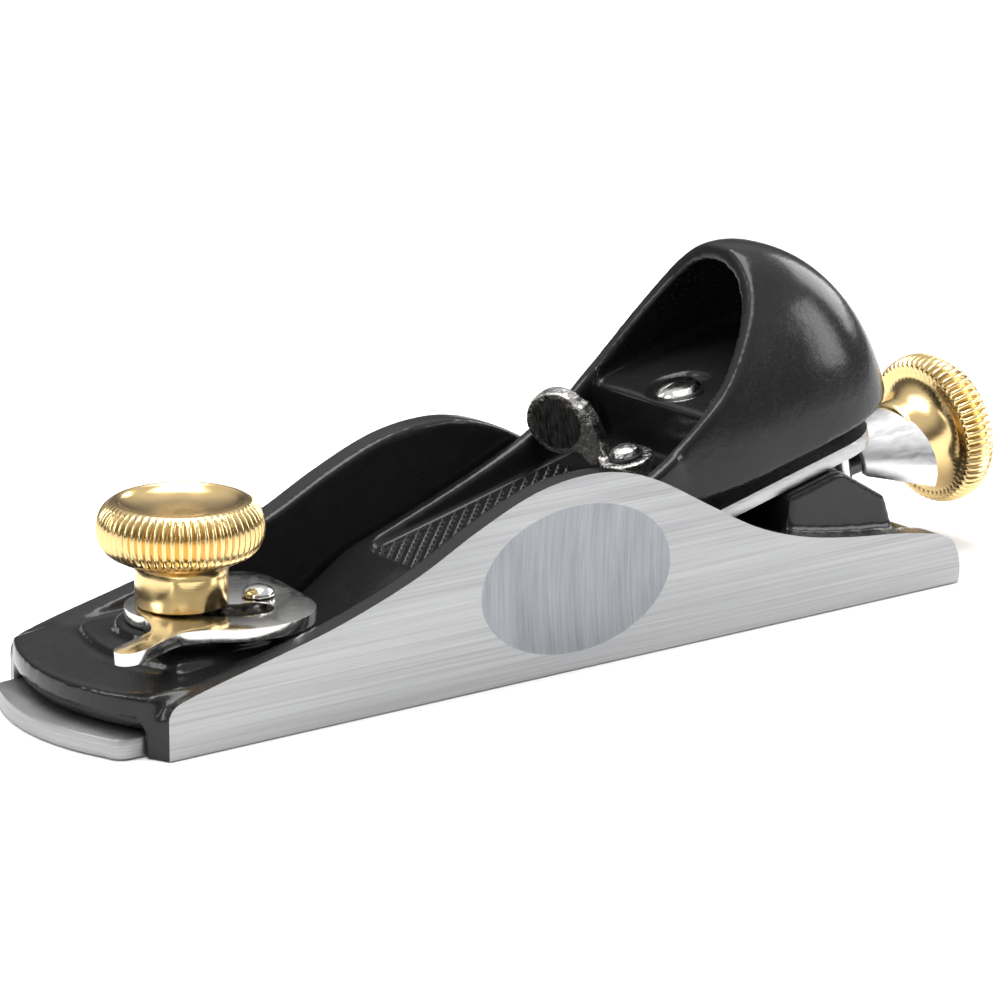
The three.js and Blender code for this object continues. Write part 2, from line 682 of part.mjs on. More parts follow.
// half cone that widens towards the knob, with its ridge in line with the lever's plate
function saddle(ridge) {
  const ring = (x, radius) => {
    const outer = arc(0, 0, radius, Math.PI / 2 - saddleWrap, Math.PI / 2 + saddleWrap, 28);
    const inner = arc(0, 0, radius - saddleWall, Math.PI / 2 + saddleWrap, Math.PI / 2 - saddleWrap, 28);
    return [...outer, ...inner].map(([y, z]) => [x, y, ridge - radius + z]);
  };
  const rings = [ring(saddleFront, saddleNarrow), ring(saddleRear, saddleWide)];
  return solid(shellBetween(rings));
}

// two C-shaped rings that face along X, joined into one closed body
function shellBetween([front, rear]) {
  const count = front.length;
  const index = [];
  for (let i = 0; i < count; i += 1) {
    const next = (i + 1) % count;
    index.push(i, next, count + next, i, count + next, count + i);
  }
  const flat = front.map(([, y, z]) => new THREE.Vector2(y, z));
  for (const [a, b, c] of THREE.ShapeUtils.triangulateShape(flat, [])) {
    index.push(a, c, b, a + count, b + count, c + count);
  }
  const geometry = new THREE.BufferGeometry();
  geometry.setAttribute('position', new THREE.Float32BufferAttribute([...front, ...rear].flat(), 3));
  geometry.setIndex(index);
  return geometry;
}

function lateralRivet() {
  const top = lateralPlateBase + lateralPlateThickness + 0.6;
  const profile = [[0, 0.5], [lateralRivetRadius, 0.5], [lateralRivetRadius, top], [2.7, top],
    [2.3, top + 0.6], [0, top + 0.9]];
  return solid(turned(profile, 24).translate(lateralRivetAt, 0, 0));
}

function lateralWasher() {
  const low = lateralPlateBase + lateralPlateThickness + 0.1;
  return solid(rod(3.1, low, low + 0.4, lateralRivetAt, 0, 32))
    .subtract(solid(rod(lateralRivetRadius + 0.05, 0, 20, lateralRivetAt, 0, 24)));
}

function adjusterBlock() {
  const rear = blockFront + blockLength;
  const middle = (blockFront + rear) / 2;
  const nibTop = nibHeight(middle);
  return solid(box(blockFront, rear, -blockHalf, blockHalf, -4.6, lateralPlateBase - runGap - 0.1))
    .add(solid(box(middle - nibThickness / 2, middle + nibThickness / 2, -4.4, 4.4, 0, nibTop)))
    .subtract(solid(rodAlongX(spindleRadius + 0.15, blockFront - 1, rear + 1)));
}

// height over the spindle at which the nib stands in a groove of the cutter
function nibHeight(at) {
  const foot = new THREE.Vector3(at, 0, 0).applyMatrix4(spindleMatrix);
  const bedAt = (foot.x - bedFoot) * Math.tan(bedAngle);
  const toBed = (bedAt - foot.z) * Math.cos(bedAngle) / Math.cos(bedAngle - spindleTilt);
  return toBed + grooveDepth - runGap - 0.1;
}

function adjusterSpindle() {
  return solid(rodAlongX(spindleRadius, 0, spindleLength));
}

function spindleRing(front, thickness, radius) {
  return solid(rodAlongX(radius, front, front + thickness))
    .subtract(solid(rodAlongX(spindleRadius + 0.01, front - 1, front + thickness + 1)));
}

function adjusterKnob() {
  const r = rearKnobRadius;
  const profile = [[0, -1], [6.4, -1], [6.6, -0.4], [8.6, 0.1], [r - 0.9, 0], [r - 0.2, 0.7],
    [r, 1.6], [r, 4.2], [r - 0.5, 5.6], [r - 1.6, 6.6], [r - 3.2, 7], [r - 4.6, 6.6],
    [r - 7, 5.9], [0, 5.9]];
  const bore = rodAlongX(spindleRadius + 0.01, 0, spindleLength + 0.05);
  return solid(turned(profile).rotateY(Math.PI / 2).translate(rearKnobFace, 0, 0))
    .subtract(solid(bore));
}

// ---------------------------------------------------------------- assembly
const plane = new THREE.Group();
plane.add(
  mesh('body_casting', bodyCasting(), enamelledIron),
  mesh('toe_plate', toePlate(), groundIron),
  mesh('eccentric_lever', eccentricLever(), nickel),
  mesh('eccentric_pivot_pin', eccentricPin(), nickel),
);

const frontKnobGroup = new THREE.Group();
frontKnobGroup.position.set(studX, 0, knobSeat);
frontKnobGroup.add(
  mesh('front_knob', frontKnob(), brass),
  mesh('front_knob_stud', frontStud(), plainSteel),
);
plane.add(frontKnobGroup);

const bedGroup = new THREE.Group();
bedGroup.position.set(bedFoot, 0, 0);
bedGroup.rotation.y = -bedAngle;
bedGroup.add(
  mesh('cutter', cutter(), bladeSteel),
  mesh('lever_cap', leverCap(), enamelledIron),
  mesh('lever_cap_screw', capScrew(), nickel),
  mesh('lever_cap_spring', capSpring(), plainSteel),
);
const camGroup = new THREE.Group();
camGroup.position.set(camAt, 0, 0);
camGroup.rotation.z = camAngle;
camGroup.add(
  mesh('cam_lever', camLever(), nickel),
  mesh('cam_rivet', camRivet(), plainSteel),
  mesh('cam_spring_washer', camWasher(), plainSteel),
);
bedGroup.add(camGroup);
plane.add(bedGroup);

const spindleGroup = new THREE.Group();
spindleGroup.position.set(spindleFoot[0], 0, spindleFoot[1]);
spindleGroup.rotation.y = -spindleTilt;
spindleGroup.add(
  mesh('lateral_lever', lateralLever(), nickel),
  mesh('lateral_rivet', lateralRivet(), plainSteel),
  mesh('lateral_washer', lateralWasher(), plainSteel),
  mesh('adjuster_spindle', adjusterSpindle(), darkSteel),
  mesh('adjuster_block', adjusterBlock(), plainSteel),
  mesh('spindle_collar', spindleRing(earFront - 2, 1.7, 4.1), plainSteel),
  mesh('spindle_clip', spindleRing(earFront + earThickness + 0.3, 0.9, 4.2), darkSteel),
  mesh('adjuster_knob', adjusterKnob(), brass),
);
plane.add(spindleGroup);

export default plane;
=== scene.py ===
# %% [markdown]
# # A block plane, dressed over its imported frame
# The frame holds every part of the plane at its true place, in metres. Here each part that
# shows gets its real surface: castings with soft corners, knurled brass, ground iron and
# plated steel. Names for axes: +X runs from toe to heel, +Y to the far cheek, +Z up.

# %% Load the frame
import json
import math

import bmesh
import bpy
from mathutils import Matrix, Vector


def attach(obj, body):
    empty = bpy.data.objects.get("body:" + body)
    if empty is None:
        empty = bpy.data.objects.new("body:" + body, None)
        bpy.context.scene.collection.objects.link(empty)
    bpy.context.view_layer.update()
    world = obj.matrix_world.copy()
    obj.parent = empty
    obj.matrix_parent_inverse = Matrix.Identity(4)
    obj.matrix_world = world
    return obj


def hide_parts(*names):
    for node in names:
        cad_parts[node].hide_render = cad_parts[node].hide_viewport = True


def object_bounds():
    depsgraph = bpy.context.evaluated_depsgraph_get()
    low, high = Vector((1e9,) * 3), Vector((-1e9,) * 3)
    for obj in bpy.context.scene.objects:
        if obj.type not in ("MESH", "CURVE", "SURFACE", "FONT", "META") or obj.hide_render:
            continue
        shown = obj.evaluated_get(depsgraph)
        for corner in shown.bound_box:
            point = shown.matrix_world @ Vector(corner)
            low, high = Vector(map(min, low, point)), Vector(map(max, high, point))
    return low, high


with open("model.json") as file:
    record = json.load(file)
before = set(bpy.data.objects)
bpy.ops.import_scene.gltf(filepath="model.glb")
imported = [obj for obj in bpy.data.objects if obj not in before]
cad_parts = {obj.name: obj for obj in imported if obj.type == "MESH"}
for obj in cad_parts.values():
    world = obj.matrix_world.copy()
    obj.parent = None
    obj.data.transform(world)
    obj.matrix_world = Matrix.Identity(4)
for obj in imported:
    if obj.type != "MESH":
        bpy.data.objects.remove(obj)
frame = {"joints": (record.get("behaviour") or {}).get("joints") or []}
cad_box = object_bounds()
MM = 0.001


def joint_place(name):
    """Where a joint of the frame stands, in millimetres."""
    joint = [joint for joint in frame["joints"] if joint["name"] == name][0]
    return tuple(round(number / MM, 4) for number in joint["pos_m"])


# %% [markdown]
# ## Working by hand in code
# Blender's operators act on what is selected, so a few small helpers keep that in order:
# one puts a single piece in hand, one opens it and selects its faces, edges or corners by
# a test on their place or direction, and one applies a modifier straight away.

# %% Helpers for selecting
def put_down():
    """Leaves edit mode, with nothing selected."""
    if bpy.context.object and bpy.context.object.mode != "OBJECT":
        bpy.ops.object.mode_set(mode="OBJECT")
    bpy.ops.object.select_all(action="DESELECT")


def in_hand(piece):
    """Leaves edit mode and makes this the only selected piece."""
    put_down()
    piece.select_set(True)
    bpy.context.view_layer.objects.active = piece
    return piece


def select(piece, kind, test):
    """Opens the piece and selects its faces, edges or corners that pass the test."""
    if piece.mode != "EDIT":
        in_hand(piece)
        bpy.ops.object.mode_set(mode="EDIT")
    bpy.ops.mesh.select_mode(type=kind)
    bpy.ops.mesh.select_all(action="DESELECT")
    mesh = bmesh.from_edit_mesh(piece.data)
    mesh.normal_update()
    parts = {"FACE": mesh.faces, "EDGE": mesh.edges, "VERT": mesh.verts}[kind]
    count = 0
    for part in parts:
        if test(part):
            part.select_set(True)
            count += 1
    mesh.select_flush_mode()
    bmesh.update_edit_mesh(piece.data)
    return count


def done(piece, angle=30):
    """Closes the piece, with smooth shading up to an angle."""
    in_hand(piece)
    bpy.ops.object.shade_smooth_by_angle(angle=math.radians(angle))
    return piece


def apply(piece, kind, **settings):
    """Adds a modifier to the piece and applies it."""
    in_hand(piece)
    bpy.ops.object.modifier_add(type=kind)
    modifier = piece.modifiers[-1]
    for name, value in settings.items():
        setattr(modifier, name, value)
    bpy.ops.object.modifier_apply(modifier=modifier.name)
    return piece


def named(piece, name):
    piece.name = name
    piece.data.name = name
    return piece


def middle(part):
    """The middle of an edge or a face."""
    return sum((v.co for v in part.verts), Vector()) / len(part.verts)


def remove(*pieces):
    for piece in pieces:
        bpy.data.objects.remove(piece, do_unlink=True)


# %% Helpers for drawing outlines
def trace(points, name):
    """Draws a line as by hand: one corner, extruded from point to point."""
    put_down()
    bpy.ops.mesh.primitive_plane_add(size=MM, location=(0, 0, 0))
    piece = named(bpy.context.object, name)
    bpy.ops.object.mode_set(mode="EDIT")
    bpy.ops.mesh.select_mode(type="VERT")
    bpy.ops.mesh.select_all(action="SELECT")
    bpy.ops.mesh.merge(type="CENTER")
    start = Vector(points[0])
    bpy.ops.transform.translate(value=start)
    for before, after in zip(points, points[1:]):
        step = Vector(after) - Vector(before)
        bpy.ops.mesh.extrude_vertices_move(TRANSFORM_OT_translate={"value": step})
    return piece


def filled(points, name):
    """A flat face inside an outline, which is closed between its two loose ends."""
    piece = trace(points, name)
    select(piece, "VERT", lambda v: len(v.link_edges) < 2)
    bpy.ops.mesh.edge_face_add()
    bpy.ops.mesh.select_all(action="SELECT")
    bpy.ops.mesh.edge_face_add()
    return piece


def raised(points, rise, name):
    """A flat outline, extruded along a vector into a closed plate."""
    piece = filled(points, name)
    bpy.ops.mesh.select_all(action="SELECT")
    bpy.ops.mesh.extrude_region_move(TRANSFORM_OT_translate={"value": rise})
    bpy.ops.mesh.select_all(action="SELECT")
    bpy.ops.mesh.normals_make_consistent(inside=False)
    bpy.ops.object.mode_set(mode="OBJECT")
    return piece


def cut(piece, tool, operation="DIFFERENCE", **settings):
    """Joins or cuts one piece with another, which is used up."""
    apply(piece, "BOOLEAN", operation=operation, object=tool, solver="EXACT", **settings)
    remove(tool)
    return piece


def copy_of(node, name):
    """A welded copy of a part of the frame, to be refined."""
    piece = bpy.data.objects.new(name, bpy.data.objects[node].data.copy())
    bpy.context.collection.objects.link(piece)
    piece.data.materials.clear()
    in_hand(piece)
    bpy.ops.object.mode_set(mode="EDIT")
    bpy.ops.mesh.select_all(action="SELECT")
    bpy.ops.mesh.remove_doubles(threshold=1e-6)
    bpy.ops.mesh.customdata_custom_splitnormals_clear()
    bpy.ops.object.mode_set(mode="OBJECT")
    return named(piece, name)


# %% Helpers for simple solids
def block(x, y, z, name="block"):
    """A box between pairs of millimetres along each axis."""
    put_down()
    middles = [sum(pair) / 2 * MM for pair in (x, y, z)]
    bpy.ops.mesh.primitive_cube_add(size=1, location=middles)
    piece = named(bpy.context.object, name)
    piece.scale = [(pair[1] - pair[0]) * MM for pair in (x, y, z)]
    bpy.ops.object.transform_apply(location=True, rotation=True, scale=True)
    return piece


def post(radius, low, high, x=0, y=0, sides=64, name="post"):
    """An upright round post, in millimetres."""
    put_down()
    middle_height = (low + high) / 2 * MM
    bpy.ops.mesh.primitive_cylinder_add(vertices=sides, radius=radius * MM,
        depth=(high - low) * MM, location=(x * MM, y * MM, middle_height))
    piece = named(bpy.context.object, name)
    bpy.ops.object.transform_apply(location=True, rotation=True, scale=True)
    return piece


def side_prism(points, low_y, high_y, name="prism"):
    """An outline seen from the side, spread across, in millimetres."""
    outline = [(x * MM, low_y * MM, z * MM) for x, z in points]
    return raised(outline, (0, (high_y - low_y) * MM, 0), name)


def smooth_line(points, per_span=6):
    """A smooth line through the points."""
    padded = [points[0], *points, points[-1]]
    line = []
    for a, b, c, d in zip(padded, padded[1:], padded[2:], padded[3:]):
        for step in range(per_span):
            t = step / per_span
            line.append(tuple(0.5 * (2 * q + (r - p) * t + (2 * p - 5 * q + 4 * r - u) * t ** 2
                + (3 * q - p - 3 * r + u) * t ** 3) for p, q, r, u in zip(a, b, c, d)))
    return [*line, points[-1]]


# %% [markdown]
# ## Camera, floor and light
# The plane stands on a pale floor, seen from its toe and a little above, through a long
# lens. Metal shows what is round it, so the light comes from large soft panels.

# %% Camera
CAMERA_PLACE = (-0.4591, -0.6086, 0.2356)            # metres
LOOKS_DOWN, ROLL, HEADING = 15.61, -0.1, -37.02      # degrees
bpy.ops.object.camera_add(location=CAMERA_PLACE)
camera = bpy.context.object
camera.rotation_euler = [math.radians(angle) for angle in (90 - LOOKS_DOWN, ROLL, HEADING)]
camera.data.sensor_width = 36
camera.data.lens = 176.3
camera.data.clip_start, camera.data.clip_end = 0.05, 20
bpy.context.scene.camera = camera
print("camera:", round(math.dist(CAMERA_PLACE, (0, 0, 0)), 2), "m away")

# %% Floor
FLOOR_SIZE, FLOOR_DROP = 20, 0.0002     # metres; the drop keeps the sole out of the floor
put_down()
bpy.ops.mesh.primitive_plane_add(size=FLOOR_SIZE, location=(0, 0, -FLOOR_DROP))
floor = named(bpy.context.object, "floor")
print("floor:", FLOOR_SIZE, "m across")


# %% Light
def panel(name, place, aim, size, power):
    """A soft rectangular light that looks at a point."""
    bpy.ops.object.light_add(type="AREA", location=place)
    lamp = bpy.context.object
    lamp.name = name
    lamp.data.shape = "RECTANGLE"
    lamp.data.size, lamp.data.size_y = size
    lamp.data.energy = power
    lamp.rotation_euler = (Vector(aim) - Vector(place)).to_track_quat("-Z", "Y").to_euler()


PANELS = [     # name, place, the point it looks at, width and height, all in metres, and watts
    ("overhead", (-0.05, 0.05, 0.95), (0, 0, 0), (0.9, 0.6), 11),
    ("from_the_left", (-0.85, 0.3, 0.5), (0, 0, 0.03), (0.2, 0.6), 3),
    ("from_the_heel", (0.85, 0.08, 0.42), (0, 0, 0.03), (0.5, 0.5), 4.2),
    ("from_the_right", (0.5, -0.38, 0.26), (0, 0, 0.03), (0.2, 0.3), 1.25),
    ("front_fill", (-0.75, -0.35, 0.3), (0, 0, 0.03), (0.12, 0.35), 0.7),
]
for row in PANELS:
    panel(*row)
print("panels:", len(PANELS))
# %% Sky: dim near the horizon, bright overhead
world = bpy.data.worlds.new("studio")
bpy.context.scene.world = world
world.use_nodes = True
sky = world.node_tree.nodes["Background"]
aim = world.node_tree.nodes.new("ShaderNodeTexCoord")
parts = world.node_tree.nodes.new("ShaderNodeSeparateXYZ")
fade = world.node_tree.nodes.new("ShaderNodeValToRGB")
SKY = ((0.0, 0.1), (0.3, 0.16), (0.65, 0.75))   # how high a direction points, brightness
fade.color_ramp.elements.new(0.5)
for stop, (height, glow) in zip(fade.color_ramp.elements, SKY):
    stop.position, stop.color = height, (glow, glow, glow * 1.02, 1)
for start, end in ((aim.outputs["Generated"], parts.inputs[0]), (parts.outputs[2], fade.inputs[0]),
                   (fade.outputs[0], sky.inputs[0])):
    world.node_tree.links.new(start, end)
bpy.context.scene.view_settings.view_transform = "Standard"
print("sky stops:", len(fade.color_ramp.elements))


# %% [markdown]
# ## Shader maths
# A finish is a small network of nodes. Wrapping a socket in a class lets the network be
# written as sums: `lines * 0.2 + 0.3` adds the two Math nodes and links them.

# %% Wire and Finish
class Wire:
    def __init__(self, finish, socket):
        self.finish, self.socket = finish, socket

    def math(self, operation, *terms):
        return self.finish.node("ShaderNodeMath", {"operation": operation}, dict(enumerate(terms)))

    def __add__(self, other):
        return self.math("ADD", self, other)

    def __sub__(self, other):
        return self.math("SUBTRACT", self, other)

    def __rsub__(self, other):
        return self.math("SUBTRACT", other, self)

    def __mul__(self, other):
        return self.math("MULTIPLY", self, other)

    __radd__, __rmul__ = __add__, __mul__


class Finish:
    def __init__(self, name, **constants):
        self.material = bpy.data.materials.new(name)
        self.material.use_nodes = True
        self.tree = self.material.node_tree
        self.shader = self.tree.nodes["Principled BSDF"]
        for socket, value in constants.items():
            self.set(socket.replace("_", " "), value)

    def node(self, kind, settings=None, inputs=None, output=0):
        made = self.tree.nodes.new(kind)
        for name, value in (settings or {}).items():
            setattr(made, name, value)
        for name, value in (inputs or {}).items():
            self.feed(made.inputs[name], value)
        return Wire(self, made.outputs[output])

    def feed(self, socket, value):
        if isinstance(value, Wire):
            self.tree.links.new(value.socket, socket)
        elif isinstance(value, tuple) and len(value) == 3 and socket.type == "RGBA":
            socket.default_value = (*value, 1)
        else:
            socket.default_value = value

    def set(self, name, value):
        self.feed(self.shader.inputs[name], value)

    def place(self, scale):
        """Where a point lies on the part, in metres, scaled along each axis for a pattern."""
        spot = self.node("ShaderNodeTexCoord", {}, {}, "Object")
        return self.node("ShaderNodeMapping", {}, {"Vector": spot, "Scale": scale})

    def noise(self, scale, detail=3.0, roughness=0.5, stretch=(1, 1, 1)):
        inputs = {"Vector": self.place(stretch), "Scale": scale, "Detail": detail,
                  "Roughness": roughness}
        return self.node("ShaderNodeTexNoise", {}, inputs)

    def remap(self, value, low, high, to_low=0.0, to_high=1.0):
        inputs = {"Value": value, "From Min": low, "From Max": high,
                  "To Min": to_low, "To Max": to_high}
        return self.node("ShaderNodeMapRange", {"clamp": True}, inputs)

    def blend(self, share, first, second):
        """A colour between two, by share."""
        FACTOR, FIRST, SECOND, RESULT = 0, 6, 7, 2     # the Mix node's colour sockets
        inputs = {FACTOR: share, FIRST: first, SECOND: second}
        return self.node("ShaderNodeMix", {"data_type": "RGBA"}, inputs, RESULT)

    def bump(self, height, depth, strength):
        """Relief of a height from 0 to 1, of a depth in metres."""
        inputs = {"Height": height, "Distance": depth, "Strength": strength}
        self.set("Normal", self.node("ShaderNodeBump", {}, inputs))


def marked_metal(name, marks, dark, light, gloss, depth, strength, low=0.3):
    """A metal whose colour, roughness and relief follow one pattern of marks."""
    finish = Finish(name, Metallic=1.0)
    pattern = finish.noise(**marks)
    finish.set("Base Color", finish.blend(pattern, dark, light))
    finish.set("Roughness", finish.remap(pattern, low, 0.7, *gloss))
    finish.bump(pattern, depth, strength)
    print(name, "has", len(finish.tree.nodes), "nodes")
    return finish


# %% Floor's finish
paper = Finish("paper", Roughness=0.9)
paper.set("Base Color", (0.86, 0.86, 0.86))
floor.data.materials.append(paper.material)
print("paper has", len(paper.tree.nodes), "nodes")


# %% [markdown]
# ## Finishes
# The cheeks and the sole are ground, so fine lines run along them. The dimples are ground
# with a wheel, across. The castings wear black enamel with a slight orange peel. The knobs
# are turned brass, the small levers are plated, and the pins are plain or blued steel. Each
# finish is made of noise, stretched along the way its tool went. In most of them one pattern
# drives colour, roughness and relief together, as a scratch does. The ground iron, the
# enamel and the brass have a second one, so that stains and lines don't fall together.

# %% Ground iron
ground = Finish("ground_iron", Metallic=1.0)
lines = ground.noise(1.0, 4.0, 0.6, stretch=(22, 60, 2600))
streaks = ground.noise(1.0, 2.0, 0.5, stretch=(9, 30, 420))
tone = ground.remap(lines * 0.65 + streaks * 0.35, 0.3, 0.7)
ground.set("Base Color", ground.blend(tone, (0.28, 0.282, 0.285), (0.46, 0.462, 0.465)))
ground.set("Roughness", tone * 0.12 + 0.34)
ground.bump(lines, 0.00006, 0.6)
print("ground iron has", len(ground.tree.nodes), "nodes")

# %% The dimple's finish, ground across
dimple_grind = Finish("dimple_ground_iron", Metallic=1.0)
scratches = dimple_grind.noise(1.0, 3.0, 0.6, stretch=(2600, 60, 90))
cloud = dimple_grind.noise(1.0, 2.0, 0.5, stretch=(260, 60, 60))
shade = dimple_grind.remap(scratches * 0.6 + cloud * 0.4, 0.3, 0.7)
dimple_grind.set("Base Color", dimple_grind.blend(shade, (0.2, 0.207, 0.22), (0.34, 0.352, 0.37)))
dimple_grind.set("Roughness", shade * 0.12 + 0.36)
dimple_grind.bump(scratches, 0.00004, 0.5)
print("dimple grind has", len(dimple_grind.tree.nodes), "nodes")

# %% Black enamel
enamel = Finish("black_enamel", Specular_IOR_Level=0.32)
peel = enamel.noise(420, 2.0, 0.45)
dust = enamel.noise(2600, 1.0)
enamel.set("Base Color", enamel.blend(peel, (0.009, 0.009, 0.0095), (0.015, 0.015, 0.0155)))
enamel.set("Roughness", enamel.remap(dust, 0.35, 0.75, 0.17, 0.28))
enamel.bump(peel * 0.8 + dust * 0.2, 0.00018, 0.35)
print("enamel has", len(enamel.tree.nodes), "nodes")

# %% Brass
brass = Finish("brass", Metallic=1.0)
turning = brass.noise(1.0, 2.0, 0.5, stretch=(300, 300, 2600))
stain = brass.noise(160, 3.0)
brass.set("Base Color", brass.blend(stain, (0.76, 0.53, 0.22), (0.86, 0.66, 0.34)))
brass.set("Roughness", brass.remap(stain, 0.3, 0.7, 0.16, 0.28))
brass.bump(turning, 0.00003, 0.4)
print("brass has", len(brass.tree.nodes), "nodes")

# %% Nickel plate, smooth and rough cast
nickel = marked_metal("nickel_plate", {"scale": 900, "detail": 4.0, "roughness": 0.6},
    (0.66, 0.65, 0.62), (0.78, 0.77, 0.74), (0.12, 0.24), 0.00003, 0.3, low=0.35)
rough_cast = marked_metal("rough_cast_nickel", {"scale": 800, "detail": 3.0, "roughness": 0.6},
    (0.2, 0.195, 0.185), (0.72, 0.71, 0.68), (0.18, 0.34), 0.0005, 0.7)

# %% Nickel again: the cam lever's serrated face, darkened with painted shade, and satin plate
ALONG_Z = {"scale": 1.0, "detail": 2.0, "stretch": (2400, 2400, 90)}
# Near-black nickel for the paddle's serrated face: painted shade among its ridges, not the plate's own
# colour.
serrated = marked_metal("serrated_nickel_painted_shade", ALONG_Z,
    (0.02, 0.02, 0.02), (0.2, 0.195, 0.19), (0.3, 0.5), 0.0003, 0.8)
ALONG_X = {"scale": 1.0, "detail": 3.0, "stretch": (300, 1800, 1800)}
satin = marked_metal("satin_plate", ALONG_X,
    (0.78, 0.78, 0.78), (0.92, 0.92, 0.92), (0.28, 0.42), 0.00003, 0.4)

# %% Steel: the cutter's, plain and blued
GRAIN = {"scale": 1.0, "detail": 3.0, "roughness": 0.6, "stretch": (500, 3200, 3200)}
blade = marked_metal("blade_steel", GRAIN,
    (0.3, 0.3, 0.3), (0.6, 0.6, 0.6), (0.25, 0.45), 0.00008, 0.6)
plain = marked_metal("plain_steel", {"scale": 1400, "detail": 3.0, "roughness": 0.6},
    (0.5, 0.5, 0.51), (0.65, 0.65, 0.66), (0.25, 0.4), 0.00004, 0.4)
blued = marked_metal("blued_steel", {"scale": 500, "detail": 3.0, "roughness": 0.6},
    (0.05, 0.052, 0.06), (0.12, 0.12, 0.13), (0.25, 0.45), 0.00004, 0.4)

# %% Give the frame's own parts their finishes
FINISHES = {
    "body_casting": ground, "toe_plate": ground, "eccentric_lever": nickel,
    "eccentric_pivot_pin": nickel, "front_knob": brass, "front_knob_stud": plain,
    "cutter": blade, "lever_cap": enamel, "lever_cap_screw": nickel,
    "lever_cap_spring": plain, "cam_lever": rough_cast, "cam_rivet": rough_cast,
    "cam_spring_washer": blued, "lateral_lever": satin, "lateral_rivet": plain,
    "lateral_washer": plain, "adjuster_spindle": blued, "adjuster_block": plain,
    "spindle_collar": plain, "spindle_clip": blued, "adjuster_knob": brass,
}
for node, finish in FINISHES.items():
    part = bpy.data.objects[node]
    part.data.materials.clear()
    part.data.materials.append(finish.material)
print("parts with a finish:", len(FINISHES))


# %% [markdown]
# ## Body casting
# The real body is cast iron: poured oversize with soft corners, enamelled, then ground on
# the sole and both cheeks, which leaves those faces bright and their edges crisp. It is
# made here in the same order. A copy of the frame's casting has its cheeks and sole pushed
# out, and the nose gets its low raised pad and the undercut in its face. The cheeks' ends
# are filled at the heel and rounded at the toe, as seen from the side. Then a voxel remesh
# and smoothing soften every corner, and flat cuts grind the casting to size.

# %% Push the cheeks and the sole out
HALF_WIDTH = round(cad_box[1][1] / MM, 2)     # the cheeks are the widest part of the frame
half_width = HALF_WIDTH * MM
SPARE = 1.5 * MM             # iron that grinding takes off
DIMPLE_FLOOR = 1.15 * MM     # how deep the frame's dimple may lie
CREST_RUN = 30 * MM          # the dimple lies within this of the crest
casting = copy_of("body_casting", "body_casting_cast")
for side in (-1, 1):
    select(casting, "VERT", lambda v: side * v.co.y > half_width - DIMPLE_FLOOR
           and (side * v.co.y > half_width - 1e-5 or abs(v.co.x) < CREST_RUN))
    bpy.ops.transform.resize(value=(1, 0, 1))
    level = [v.co.y for v in bmesh.from_edit_mesh(casting.data).verts if v.select][0]
    bpy.ops.transform.translate(value=(0, side * (half_width + SPARE) - level, 0))
select(casting, "VERT", lambda v: v.co.z < 1e-5)
bpy.ops.transform.translate(value=(0, 0, -SPARE))
print("oversize casting:", [round(size / MM, 1) for size in casting.dimensions], "mm")

# %% Raise the nose's pad
NOSE_CENTRE, PAD_REACH = -46.9, 28.0      # the nose is round about this point
PAD_LOW, PAD_RISE = 9, 2.8
pad = [(NOSE_CENTRE - PAD_REACH * math.cos(turn), PAD_REACH * math.sin(turn))
       for turn in (math.radians(30 - 5 * i) for i in range(13))]
pad_outline = [(x * MM, y * MM, PAD_LOW * MM) for x, y in [*pad, (-44, -14), (-44, 14)]]
cut(casting, raised(pad_outline, (0, 0, PAD_RISE * MM), "plateau"), "UNION")
print("pad:", len(pad_outline), "corners")

# %% Undercut the nose's face
UNDERCUT = ((36.2, 3), (36.6, 3.5), (38.7, 6.1), (40, 6.1), (40, 3), (36.2, 3))  # radius, height
UNDERCUT_HALF = 18.2                      # it ends before the cheeks
undercut = trace([(radius * MM, 0, z * MM) for radius, z in UNDERCUT], "undercut")
bpy.ops.mesh.select_all(action="SELECT")
bpy.ops.mesh.spin(steps=120, angle=math.tau, center=(0, 0, 0), axis=(0, 0, 1))
bpy.ops.mesh.select_all(action="SELECT")
bpy.ops.transform.translate(value=(NOSE_CENTRE * MM, 0, 0))
bpy.ops.mesh.remove_doubles(threshold=1e-7)
bpy.ops.mesh.normals_make_consistent(inside=False)
cut(undercut, block((-100, -72), (-UNDERCUT_HALF, UNDERCUT_HALF), (0, 10)), "INTERSECT")
print("undercut:", len(undercut.data.polygons), "faces")
cut(casting, undercut)

# %% Fill the heel's corners and round the toe's
HEEL = [(70, -1.5), (70, 10.2), (75.6, 9.2), (78.5, 7.9), (80, 5.3), (80.5, 3), (80.5, 1),
        (79.6, -1.5)]
TOE = [(-81, 5.5), (-79, 6.4), (-78.4, 7.6), (-76.8, 8.9), (-75, 9.4), (-73.5, 9.7), (-73.5, 14),
       (-81, 14)]
for low_y, high_y in ((-24.1, -17), (17, 24.1)):
    cut(casting, side_prism(HEEL, low_y, high_y), "UNION")
for low_y, high_y in ((-26, -20), (20, 26)):
    cut(casting, side_prism(TOE, low_y, high_y))
print("casting with its corners:", len(casting.data.polygons), "faces")

# %% Soften it as its mould does
apply(casting, "REMESH", mode="VOXEL", voxel_size=0.55 * MM, adaptivity=0)
apply(casting, "SMOOTH", factor=0.5, iterations=12)
print("casting before grinding:", len(casting.data.polygons), "faces")

